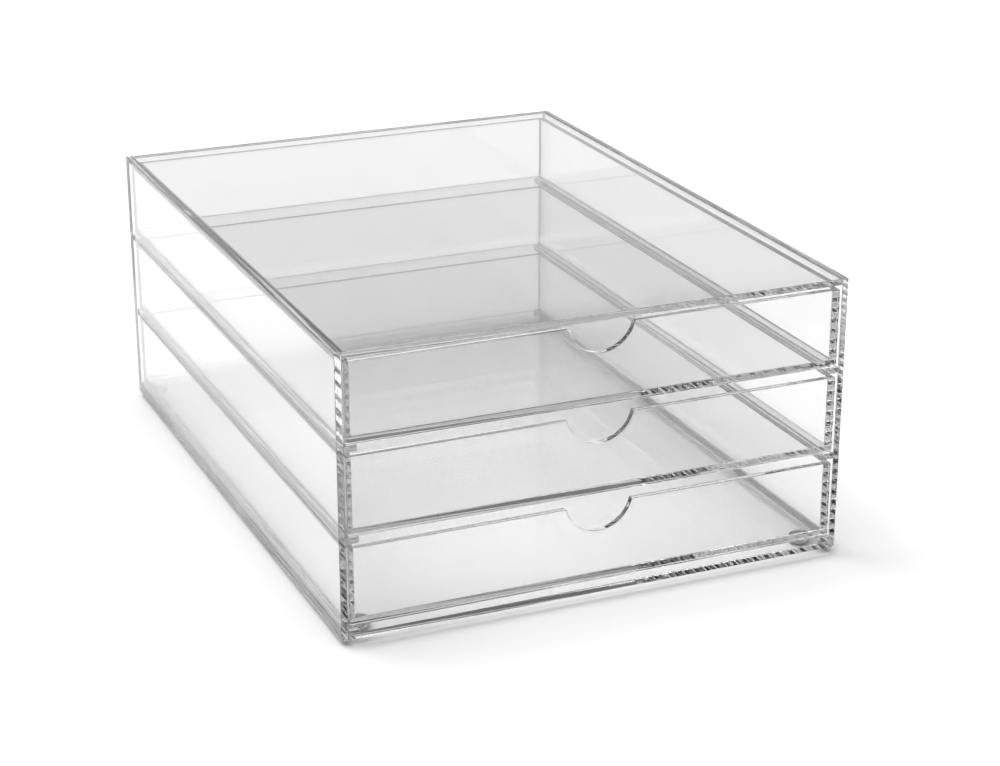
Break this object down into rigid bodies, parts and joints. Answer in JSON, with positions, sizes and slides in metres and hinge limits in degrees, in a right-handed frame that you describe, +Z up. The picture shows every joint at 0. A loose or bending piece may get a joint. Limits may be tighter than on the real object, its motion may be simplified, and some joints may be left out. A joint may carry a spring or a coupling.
{
  "type": "desktop drawer organizer",
  "caption": "Clear acrylic desk organizer for A4 or letter paper: an open-fronted case with stacked shallow drawers, each with a finger notch in its front.",
  "frame": {"origin": "middle of the footprint, on the surface that the feet stand on", "axes": "+X to the object's right seen from its front, +Y to its back, +Z up; the drawers open along -Y"},
  "size_m": [0.24, 0.32, 0.1325],
  "materials": {
    "case_acrylic": "clear polished acrylic sheet",
    "drawer_acrylic": "clear polished acrylic sheet",
    "foot_silicone": "clear satin silicone"
  },
  "bodies": {
    "case": {"case_base_panel": "case_acrylic", "case_left_panel": "case_acrylic", "case_right_panel": "case_acrylic", "case_back_panel": "case_acrylic", "case_top_panel": "case_acrylic", "top_left_runner": "case_acrylic", "top_right_runner": "case_acrylic", "middle_left_runner": "case_acrylic", "middle_right_runner": "case_acrylic", "bottom_left_runner": "case_acrylic", "bottom_right_runner": "case_acrylic", "bumper_feet": "foot_silicone"},
    "top_drawer": {"top_drawer_front": "drawer_acrylic", "top_drawer_back": "drawer_acrylic", "top_drawer_left": "drawer_acrylic", "top_drawer_right": "drawer_acrylic", "top_drawer_floor": "drawer_acrylic"},
    "middle_drawer": {"middle_drawer_front": "drawer_acrylic", "middle_drawer_back": "drawer_acrylic", "middle_drawer_left": "drawer_acrylic", "middle_drawer_right": "drawer_acrylic", "middle_drawer_floor": "drawer_acrylic"},
    "bottom_drawer": {"bottom_drawer_front": "drawer_acrylic", "bottom_drawer_back": "drawer_acrylic", "bottom_drawer_left": "drawer_acrylic", "bottom_drawer_right": "drawer_acrylic", "bottom_drawer_floor": "drawer_acrylic"}
  },
  "joints": [
    {"name": "top_drawer_slide", "type": "slide", "parent": "case", "child": "top_drawer", "axis": [0, -1, 0], "range_m": [0, 0.24]},
    {"name": "middle_drawer_slide", "type": "slide", "parent": "case", "child": "middle_drawer", "axis": [0, -1, 0], "range_m": [0, 0.24]},
    {"name": "bottom_drawer_slide", "type": "slide", "parent": "case", "child": "bottom_drawer", "axis": [0, -1, 0], "range_m": [0, 0.24]}
  ]
}
